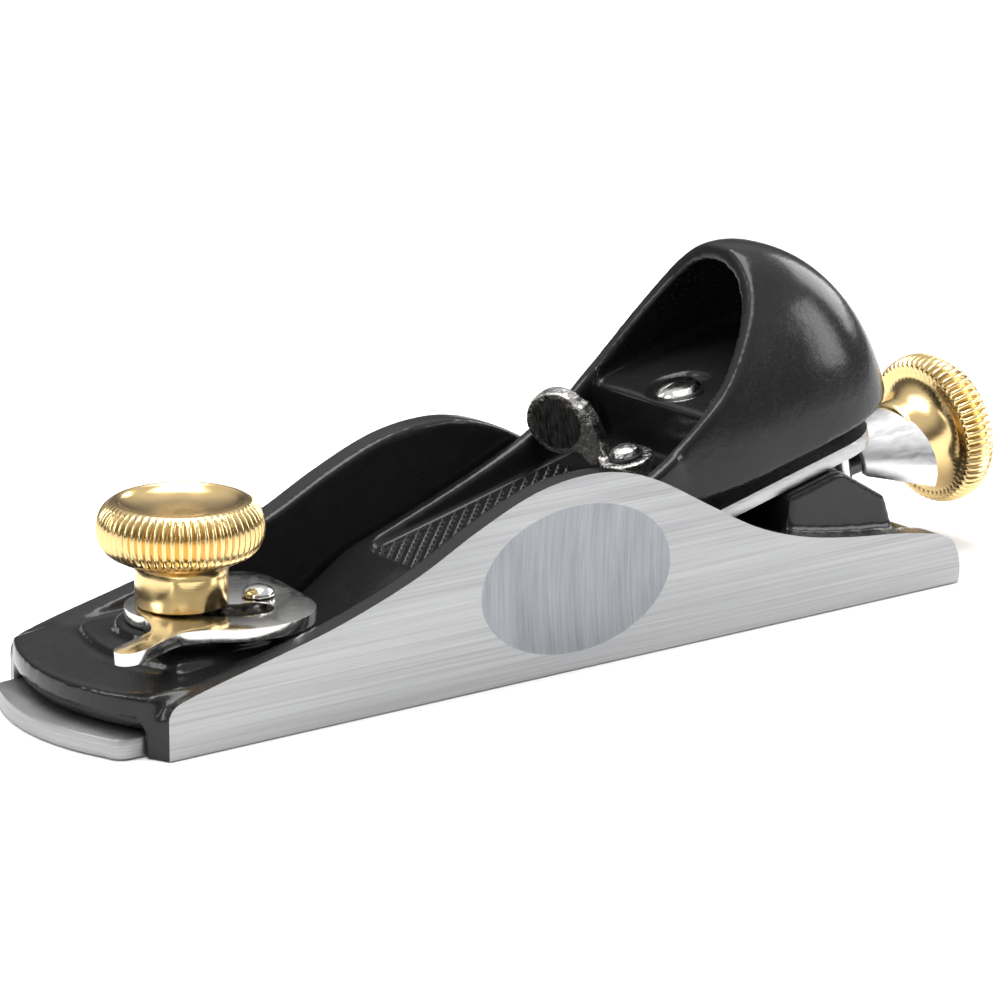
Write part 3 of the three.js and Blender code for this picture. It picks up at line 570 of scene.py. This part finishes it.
# %% Grind the cheeks and the sole
for finish in (enamel, ground, dimple_grind):
    casting.data.materials.append(finish.material)
BRIGHT = 1                   # slot of the ground iron
GRINDS = [                   # a point on each ground face, and the way it looks
    ((0, -half_width, 0), (0, -1, 0)),
    ((0, half_width, 0), (0, 1, 0)),
    ((0, 0, 0), (0, 0, -1)),
]
for spot, away in GRINDS:
    in_hand(casting)
    bpy.ops.object.mode_set(mode="EDIT")
    bpy.ops.mesh.select_all(action="SELECT")
    bpy.ops.mesh.bisect(plane_co=spot, plane_no=away, clear_outer=True, use_fill=True)
    level = Vector(spot).dot(away)
    select(casting, "FACE", lambda f: f.normal.dot(away) > 0.999
           and abs(f.calc_center_median().dot(away) - level) < 1e-5)
    casting.active_material_index = BRIGHT
    bpy.ops.object.material_slot_assign()
print("ground faces:", len(GRINDS))

# %% Grind the oval dimples
DIMPLE_DEPTH, DIMPLE_HALF_LENGTH, DIMPLE_HALF_HEIGHT = 1.1, 18.9, 12
DIMPLE_AT = (-1.4, 15)       # along and up
BULGE = 10.0                 # half the wheel's thickness, which sets how round it grinds
share = math.sqrt(1 - ((BULGE - DIMPLE_DEPTH) / BULGE) ** 2)
for side in (-1, 1):
    put_down()
    bpy.ops.mesh.primitive_uv_sphere_add(segments=192, ring_count=128, radius=1)
    wheel = named(bpy.context.object, "grinding_wheel")
    wheel.scale = (DIMPLE_HALF_LENGTH / share * MM, BULGE * MM, DIMPLE_HALF_HEIGHT / share * MM)
    wheel.location = (DIMPLE_AT[0] * MM, side * (half_width + (BULGE - DIMPLE_DEPTH) * MM),
                      DIMPLE_AT[1] * MM)
    bpy.ops.object.transform_apply(location=True, rotation=True, scale=True)
    wheel.data.materials.append(dimple_grind.material)
    cut(casting, wheel, material_mode="TRANSFER")
done(casting, 40)
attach(casting, "plane_body")
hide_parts("body_casting")
print("casting:", len(casting.data.polygons), "faces",
      {m.name: sum(f.material_index == i for f in casting.data.polygons)
       for i, m in enumerate(casting.data.materials)})

# %% [markdown]
# ## Where the slanted parts lie
# The cutter lies on a bed that rises towards the heel, and everything clamped to it is
# easiest to model flat, with the first number along the bed and the last one above it. Once
# finished, such a piece is turned and set in place, and its place is applied to its mesh.

# %% Frames of the bed and of the adjuster
BED_FOOT, BED_ANGLE, SPINDLE_ANGLE = -38.6, 13.5, 9


def slant(place, angle):
    """A frame at a place in millimetres, tipped up towards the heel."""
    tip = Matrix.Rotation(math.radians(-angle), 4, "Y")
    return Matrix.Translation([number * MM for number in place]) @ tip


bed = slant((BED_FOOT, 0, 0), BED_ANGLE)
adjuster = slant(joint_place("spindle_turn"), SPINDLE_ANGLE)
print("the adjuster starts at", joint_place("spindle_turn"))


def settle(piece, place):
    """Moves a piece that is modelled flat to its place, and applies that place."""
    in_hand(piece)
    piece.matrix_world = place
    bpy.ops.object.transform_apply(location=True, rotation=True, scale=True)
    return piece


# %% [markdown]
# ## Lever cap
# The cap is a casting too: a flat tongue with a thumb rest in it, swept up at the heel into
# a hood for the palm. The hood is a stack of rounded rings that shrink towards the crown.
# Rings are computed, because every ring follows two curves at once. The mouth is cut along
# one smooth line, then the inside, the shelf and the thumb rest are hollowed out, and the
# remesh and smoothing round all edges as a mould and enamel do.

# %% Rings of the hood
TONGUE_HALF, HOOD_HALF, HOOD_START, HOOD_REACH = 17.8, 19.4, 93.2, 25.0
HOOD_BASE, HOOD_RISE, HOOD_WALL = 5.0, 32.8, 2.7
FLARE_START, FLARE_LENGTH = 66, 16     # where the tongue widens to the hood
CROWN_POWER, PLAN_POWER = 2.03, 2.64   # 2 is a circle, and more is squarer


def hood_ring(share, inset, front):
    """One level ring of the hood, at a share of its height."""
    shrink = max(1 - share ** CROWN_POWER, 0.0004) ** (1 / CROWN_POWER)
    height = HOOD_BASE + (HOOD_RISE - inset) * share

    def half_at(along):
        step = min(max((along - FLARE_START) / FLARE_LENGTH, 0), 1)
        flare = step * step * (3 - 2 * step)
        return (TONGUE_HALF + (HOOD_HALF - TONGUE_HALF) * flare - inset) * shrink

    side = []
    for i in range(17):
        along = front + (HOOD_START - front) * i / 16
        side.append((along, half_at(along)))
    for i in range(1, 24):
        turn = i / 24 * math.pi / 2
        along = HOOD_START + (HOOD_REACH - inset) * shrink * math.sin(turn) ** (2 / PLAN_POWER)
        side.append((along, half_at(HOOD_START) * math.cos(turn) ** (2 / PLAN_POWER)))
    tip = [(HOOD_START + (HOOD_REACH - inset) * shrink, 0)]
    ring = [(x, -y) for x, y in side] + tip + side[::-1]
    return [(x * MM, y * MM, height * MM) for x, y in ring]


def dome(inset, front, levels=30):
    """A closed solid of stacked rings."""
    rings = [hood_ring(math.sin(math.pi / 2 * k / levels), inset, front) for k in range(levels + 1)]
    count = len(rings[0])
    corners = [corner for ring in rings for corner in ring]
    faces = [tuple(range(count))[::-1], tuple(range(levels * count, (levels + 1) * count))]
    for k in range(levels):
        for i in range(count):
            a, b = k * count + i, k * count + (i + 1) % count
            faces.append((a, b, b + count, a + count))
    mesh = bpy.data.meshes.new("dome")
    mesh.from_pydata(corners, [], faces)
    piece = bpy.data.objects.new("dome", mesh)
    bpy.context.collection.objects.link(piece)
    return piece


# %% Join the tongue and the hood
RIM = smooth_line([(23, 8.4), (40, 10.1), (54, 11.9), (62, 13.5), (68, 15.5), (73.5, 18),
    (79, 20.9), (84, 24.6), (88.4, 28.4), (91.8, 32), (94, 35.4), (95.6, 39)])
TONGUE_END = 68
low_rim = [spot for spot in RIM if spot[0] < TONGUE_END]
tongue = [(7, 2.7), (11, 2.7), (14, 4.5), (TONGUE_END, 4.5), *low_rim[::-1]]
cap = side_prism(tongue, -TONGUE_HALF, TONGUE_HALF, "lever_cap_cast")
cut(cap, dome(0, 60), "UNION")
cut(cap, side_prism([*RIM, (95.6, 60), (0, 60), (0, 8.4)], -30, 30))
print("solid cap:", [round(size / MM, 1) for size in cap.dimensions], "mm")

# %% Hollow the thumb rest
FLOOR, SHELF_FRONT, SHELF_TOP = 7.2, 76.0, 17.2
THUMB_START, THUMB_HALF, THUMB_CORNER = 24.8, 14.9, 4
OPEN_SKY = 80                          # a height above the whole cap
thumb_rest = block((THUMB_START, SHELF_FRONT), (-THUMB_HALF, THUMB_HALF), (FLOOR, OPEN_SKY))
select(thumb_rest, "EDGE", lambda e: abs(e.verts[0].co.z - e.verts[1].co.z) > MM
       and middle(e).x < 30 * MM)
bpy.ops.mesh.bevel(offset=THUMB_CORNER * MM, segments=8)
bpy.ops.object.mode_set(mode="OBJECT")
cut(cap, thumb_rest)
print("thumb rest:", SHELF_FRONT - THUMB_START, "mm long")

# %% Hollow the hood, and bore the holes
BEYOND = 140                           # a distance past the heel end of the hood
HOLLOWS = [                            # along, and up
    ((24, SHELF_FRONT), (FLOOR, OPEN_SKY)),
    ((SHELF_FRONT - 1, BEYOND), (SHELF_TOP, OPEN_SKY)),
    ((80, BEYOND), (0, 12.3)),
]
for x, z in HOLLOWS:
    inside = dome(HOOD_WALL, 54)
    cut(inside, block(x, (-40, 40), z), "INTERSECT")
    cut(cap, inside)
cut(cap, block((80, 110), (-16.7, 16.7), (0, 5.5)))
CAM_RIVET_AT = 69                      # along the bed, like the places of the holes
HOLES = [                              # radius, bottom, top, place along
    (5.6, SHELF_TOP - 1.3, 26, 82.6),
    (2.9, 0, 26, 82),
    (3.8, 0, FLOOR + 1, CAM_RIVET_AT),
]
for radius, low, high, along in HOLES:
    cut(cap, post(radius, low, high, along))
print("hollowed cap:", len(cap.data.polygons), "faces")

# %% Soften the cap and set it on the bed
apply(cap, "REMESH", mode="VOXEL", voxel_size=0.45 * MM, adaptivity=0)
apply(cap, "SMOOTH", factor=0.5, iterations=26)
cap.data.materials.append(enamel.material)
settle(cap, bed)
done(cap, 60)
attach(cap, "plane_body")
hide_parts("lever_cap")
print("lever cap:", len(cap.data.polygons), "faces")

# %% [markdown]
# ## Stipple
# The floor of the thumb rest is covered in small raised points, so that the thumb holds. One
# point is modelled, without its hidden foot, and copied over a staggered grid. Its flat tip
# is plain light steel, a painted highlight where each point glints.

# %% Stipple of the thumb rest
STEP_ALONG, STEP_ACROSS, STIPPLE_START = 1.25, 1.1, 27.5
STIPPLE_HALF, STIPPLE_END = 13.4, 64
FOOT_RADIUS, TIP_RADIUS, POINT_HEIGHT, SEAT = 0.62, 0.2, 0.5, 0.22   # SEAT: its middle's height
spots = []
for i in range(-1, 31):
    for j in range(-12, 13):
        along, across = STIPPLE_START + i * STEP_ALONG, j * STEP_ACROSS
        if (i + j) % 2 == 0 and abs(across) < STIPPLE_HALF and along < STIPPLE_END:
            spots.append((along, across))
put_down()
bpy.ops.mesh.primitive_cone_add(vertices=8, radius1=FOOT_RADIUS * MM, radius2=TIP_RADIUS * MM,
                                depth=POINT_HEIGHT * MM)
point = bpy.context.object
select(point, "FACE", lambda f: f.normal.z < -0.9)
bpy.ops.mesh.delete(type="FACE")
bpy.ops.object.mode_set(mode="OBJECT")
# Each point's flat tip gets plain steel: a painted highlight for its glint.
glint_tip_face = [f.index for f in point.data.polygons if f.normal.z > 0.9][0]
point.data.materials.append(enamel.material)
point.data.materials.append(plain.material)
point.data.polygons[glint_tip_face].material_index = 1
copies = []
for along, across in spots:
    one = point.copy()
    one.data = point.data.copy()
    one.location = (along * MM, across * MM, (FLOOR + SEAT) * MM)
    bpy.context.collection.objects.link(one)
    copies.append(one)
remove(point)
in_hand(copies[0])
for one in copies:
    one.select_set(True)
bpy.ops.object.join()
stipple = named(bpy.context.object, "cap_stipple")
bpy.ops.object.transform_apply(location=True, rotation=True, scale=True)
settle(stipple, bed)
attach(stipple, "plane_body")
print("stipple:", len(spots), "points")


# %% [markdown]
# ## Brass knobs
# Both knobs are turned from bar and knurled on the rim. Half a section is drawn and spun
# in many steps, then every few columns of corners on the rim are pressed in, which makes
# straight knurling that fades out on the rounded edges.

# %% A knurled knob
KNURLS = 60                               # grooves round the rim
PRESS = [1, 0.62, 0.08, 0, 0.08, 0.62]    # how far each column of a groove is pressed in
PRESSED = 0.95                            # a full press leaves this share of the radius
EDGE, EDGE_PRESS = 0.6, 0.45              # mm beside the band, and the share of a press there
RIM_ZONE = 2.6                            # mm in from the widest ring that are pressed


def knurled_knob(name, section, band):
    """Spins a section about Z, then presses grooves into its band of heights."""
    piece = trace([(max(r, 0.02) * MM, 0, z * MM) for r, z in section], name)
    bpy.ops.mesh.select_all(action="SELECT")
    steps = KNURLS * len(PRESS)
    bpy.ops.mesh.spin(steps=steps, angle=math.tau, center=(0, 0, 0), axis=(0, 0, 1))
    bpy.ops.mesh.select_all(action="SELECT")
    bpy.ops.mesh.remove_doubles(threshold=1e-7)

    def radius_of(v):
        return math.hypot(v.co.x, v.co.y)

    select(piece, "VERT", lambda v: radius_of(v) < 0.05 * MM and v.co.z > 0)
    bpy.ops.mesh.merge(type="CENTER")
    select(piece, "VERT", lambda v: radius_of(v) < 0.05 * MM and v.co.z <= 0)
    bpy.ops.mesh.merge(type="CENTER")
    low, high = band
    outer = max(r for r, z in section)

    def column(v):
        return round(math.atan2(v.co.y, v.co.x) / math.tau * steps) % len(PRESS)

    def within(v, margin):
        return (low - margin) * MM <= v.co.z <= (high + margin) * MM

    for number, share in enumerate(PRESS):
        if share == 0:
            continue
        for margin, fade in ((0, 1.0), (EDGE, EDGE_PRESS)):
            found = select(piece, "VERT", lambda v: column(v) == number
                and radius_of(v) > (outer - RIM_ZONE) * MM
                and within(v, margin) and (margin == 0 or not within(v, 0)))
            if found:
                scale = 1 - (1 - PRESSED) * share * fade
                bpy.ops.transform.resize(value=(scale, scale, 1), center_override=(0, 0, 0))
    bpy.ops.mesh.select_all(action="SELECT")
    bpy.ops.mesh.normals_make_consistent(inside=False)
    bpy.ops.object.mode_set(mode="OBJECT")
    piece.data.materials.append(brass.material)
    print(name, len(piece.data.polygons), "faces")
    return piece


# %% Front knob, as radius and height of half its section
FRONT_SECTION = [(0, 0), (6.9, 0), (7.3, 0.4), (7.3, 5.2), (7.45, 6.1), (7.9, 6.8), (8.8, 7.3),
    (10.2, 7.8), (11.3, 8.4), (12.0, 9.0), (12.5, 9.7), (12.85, 10.5), (13.05, 11.4),
    (13.1, 12.3), (13.05, 13.2), (12.85, 14.1), (12.5, 14.9), (12.0, 15.6), (11.4, 16.15),
    (10.8, 16.5), (10.2, 16.7), (9.8, 16.62), (9.5, 16.3), (9.0, 15.9), (8.0, 15.45),
    (6.0, 15.0), (3.0, 14.8), (0, 14.75)]
front_knob = knurled_knob("front_knob_turned", FRONT_SECTION, (8.9, 15.7))
settle(front_knob, slant(joint_place("front_knob_turn"), 0))
done(front_knob, 50)
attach(front_knob, "front_knob")
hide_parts("front_knob")

# %% Adjuster knob, with a neck towards the saddle
KNOB_ALONG_SPINDLE = 38.4
REAR_SECTION = [(0, -6.6), (6.5, -6.6), (7.0, -6.2), (7.2, -5.4), (7.3, -3.6), (7.7, -1.9),
    (8.6, -0.6), (9.8, 0.2), (10.9, 0.35), (11.7, 0.15), (12.2, 0.25), (12.7, 0.7),
    (13.0, 1.4), (13.15, 2.2), (13.2, 3.0), (13.15, 3.8), (12.95, 4.7), (12.6, 5.5),
    (12.0, 6.2), (11.2, 6.7), (10.2, 6.95), (9.4, 6.8), (8.6, 6.4), (6.5, 6.0), (3.0, 5.9),
    (0, 5.9)]
rear_knob = knurled_knob("adjuster_knob_turned", REAR_SECTION, (0.3, 5.6))
settle(rear_knob, adjuster @ slant((KNOB_ALONG_SPINDLE, 0, 0), -90))
done(rear_knob, 50)
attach(rear_knob, "spindle")
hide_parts("adjuster_knob")


# %% [markdown]
# ## Machined and pressed parts
# Plates, pins and blades keep the shape that the frame gives them. What the frame leaves
# out is the tiny round on each edge, which catches the light on real metal. A copy of the
# part is welded, its flat faces are made whole again, and a bevel rounds its edges. The
# saddle of the lateral lever also has its end cut to a round.

# %% Soft edges
def eased(node, name, body, slot, finish, width):
    """A copy of a part with rounded edges, of a width in millimetres."""
    piece = copy_of(node, name)
    bpy.ops.object.mode_set(mode="EDIT")
    bpy.ops.mesh.select_all(action="SELECT")
    bpy.ops.mesh.dissolve_limited(angle_limit=math.radians(0.6))
    bpy.ops.object.mode_set(mode="OBJECT")
    apply(piece, "BEVEL", width=width * MM, segments=2, limit_method="ANGLE",
          angle_limit=math.radians(30), use_clamp_overlap=True)
    piece.data.materials.append(finish.material)
    done(piece, 35)
    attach(piece, body)
    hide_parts(node)
    print(name, len(piece.data.polygons), "faces")
    return piece


EASED = [     # part, finished piece, body, slot, finish, width of its rounded edges
    ("toe_plate", "toe_plate_ground", "toe_plate", "toe_plate", ground, 0.35),
    ("cutter", "cutter_ground", "cutter", "cutter", blade, 0.12),
    ("lateral_lever", "lateral_lever_plated", "lateral_lever", "nickel", satin, 0.2),
    ("lever_cap_screw", "lever_cap_screw_plated", "cap_screw", "nickel", nickel, 0.3),
    ("eccentric_pivot_pin", "eccentric_pivot_pin_plated", "plane_body", "nickel", nickel, 0.15),
]
eased_parts = {row[0]: eased(*row) for row in EASED}

# %% Round off the end of the saddle
SADDLE_LENGTH, SADDLE_ROUND, SADDLE_HALF = 33.4, 3, 12     # from the spindle's start
saddle_end = [(SADDLE_LENGTH - SADDLE_ROUND * (z / SADDLE_HALF) ** 2, z)
              for z in range(-14, 15, 2)]
waste = side_prism([*saddle_end, (60, 14), (60, -14)], -20, 20, "waste")
cut(eased_parts["lateral_lever"], settle(waste, adjuster))
print("saddle:", len(eased_parts["lateral_lever"].data.polygons), "faces")

# %% [markdown]
# ## Eccentric lever
# The lever that moves the toe plate is cut from plate and plated: a tab for the finger, a
# wavy front, and a curved slot that runs round the knob's stud. Its outline is drawn as one
# smooth line with an arc about the stud, and raised to the plate's thickness. The slot is a
# row of round cuts along the way the stud takes through the swinging lever. The stud slides
# towards the pivot at a constant ratio to the swing, so the slot is a spiral. Last, the
# edges are eased.

# %% Draw the lever's outline
LEVER_LOW, LEVER_HIGH, LOBE_RADIUS = 14.15, 16.15, 9
STUD = joint_place("front_knob_turn")[:2]
PIVOT = joint_place("eccentric_swing")[:2]
lobe = [(STUD[0] + LOBE_RADIUS * math.cos(turn), LOBE_RADIUS * math.sin(turn))
        for turn in (math.radians(angle) for angle in range(60, 196, 9))]
wave = [lobe[-1], (-71.2, -6.2), (-73.4, -9.3), (-78.6, -11.6), (-82.2, -13.3), (-83.2, -15.2),
        (-82.2, -16.7), (-79.6, -16.8), (-75.4, -15.0), (-71.5, -13.3), (-68.7, -12.9),
        (-65.2, -14.2), (-61.6, -16.6), (-57.4, -18.0), (-52.4, -17.9), (-47.4, -15.6),
        (-44.2, -11.3), (-42.7, -3.3), (-41.9, 4.2), (-43.5, 8.9), (-48.3, 11.1),
        (-53.5, 10.6), lobe[0]]
outline = [*lobe[:-1], *smooth_line(wave, 5)[:-1]]
lever = raised([(x * MM, y * MM, LEVER_LOW * MM) for x, y in outline],
               (0, 0, (LEVER_HIGH - LEVER_LOW) * MM), "eccentric_lever_plated")
print("eccentric lever's outline:", len(outline), "corners")

# %% Cut its slot and its pivot hole
SLOT_RADIUS, SLOT_TRAVEL, SLOT_CUTS = 3.3, 5.0, 20
SLOT_END = (-53.9, -8.6)
PIVOT_RADIUS = 2.25
TURN_PER_MM = 0.2268928      # radians that the lever swings for each mm of the toe plate
for i in range(SLOT_CUTS + 1):
    slid = SLOT_TRAVEL * i / SLOT_CUTS
    turn = TURN_PER_MM * slid
    x, y = STUD[0] + slid - PIVOT[0], STUD[1] - PIVOT[1]
    cut(lever, post(SLOT_RADIUS, 10, 20, PIVOT[0] + x * math.cos(turn) - y * math.sin(turn),
                    PIVOT[1] + x * math.sin(turn) + y * math.cos(turn), 48))
cut(lever, post(SLOT_RADIUS, 10, 20, *SLOT_END, 48))
cut(lever, post(PIVOT_RADIUS, 10, 20, *PIVOT, 48))
apply(lever, "BEVEL", width=0.28 * MM, segments=3, limit_method="ANGLE",
      angle_limit=math.radians(40), use_clamp_overlap=True)
lever.data.materials.append(nickel.material)
done(lever, 35)
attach(lever, "eccentric_lever")
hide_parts("eccentric_lever")
print("eccentric lever:", len(lever.data.polygons), "faces")

# %% [markdown]
# ## Cam lever
# The little lever that locks the cap is cast and plated without any finishing, so it keeps
# the grainy skin of its mould. It is a hub, an arm that rises beside the rivet, and a round
# paddle that stands on edge, square to its swing, with a serrated face for the thumb. It is
# modelled with the arm along X, then turned and set in place on the bed.

# %% Join the hub, the arm and the paddle
HUB_RADIUS, HUB_LOW, HUB_TOP = 4.6, 7.35, 9.95
COLLAR_RADIUS, COLLAR_LOW = 3.4, 4.2      # the cam's round foot in the cap's hole
PADDLE_RADIUS, PADDLE_HALF, PADDLE_AT = 5.6, 1.4, (11, 16.1)
ARM_HALF = 1.6
HEAD_ROOM, RIVET_RADIUS = 3.2, 1.6        # radii cleared for the rivet's head and its shank
ARM = [(-2, 7.8), (6, 8.6), (9, 12), (9, 19.4), (5.6, 19.2), (4.2, 16), (3.5, 12.5), (3.3, 9.9),
       (-2, 9.9)]
cam = named(post(HUB_RADIUS, HUB_LOW, HUB_TOP), "cam_lever_cast")
cut(cam, post(COLLAR_RADIUS, COLLAR_LOW, 8), "UNION")
cut(cam, side_prism(ARM, -ARM_HALF, ARM_HALF), "UNION")
paddle = post(PADDLE_RADIUS, -PADDLE_HALF, PADDLE_HALF)
upright = Matrix.Rotation(math.pi / 2, 4, "X")
settle(paddle, Matrix.Translation((PADDLE_AT[0] * MM, 0, PADDLE_AT[1] * MM)) @ upright)
cut(cam, paddle, "UNION")
cut(cam, post(HEAD_ROOM, HUB_TOP, 24))
cut(cam, post(RIVET_RADIUS, 0, 24))
print("cam lever before casting:", len(cam.data.polygons), "faces")

# %% Give it the skin of a casting, and serrate the paddle, whose face is darkened with painted shade
SERRATED_SHADE_RADIUS, CAM_TURNED = 4.6, 115    # the arm's angle at rest, in degrees
apply(cam, "REMESH", mode="VOXEL", voxel_size=0.28 * MM, adaptivity=0)
apply(cam, "SMOOTH", factor=0.5, iterations=6)
cam.data.materials.append(rough_cast.material)
cam.data.materials.append(serrated.material)
# One face of the paddle, found by its normal, gets the near-black nickel as painted shade.
for face in cam.data.polygons:
    x, y, z = (c / MM for c in face.center)
    if face.normal.y > 0.9 and y > 1 and math.hypot(x - PADDLE_AT[0], z - PADDLE_AT[1]) < SERRATED_SHADE_RADIUS:
        face.material_index = 1
turned = Matrix.Rotation(math.radians(CAM_TURNED), 4, "Z")
settle(cam, bed @ Matrix.Translation((CAM_RIVET_AT * MM, 0, 0)) @ turned)
done(cam, 60)
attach(cam, "cam_lever")
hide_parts("cam_lever")
print("cam lever:", len(cam.data.polygons), "faces")
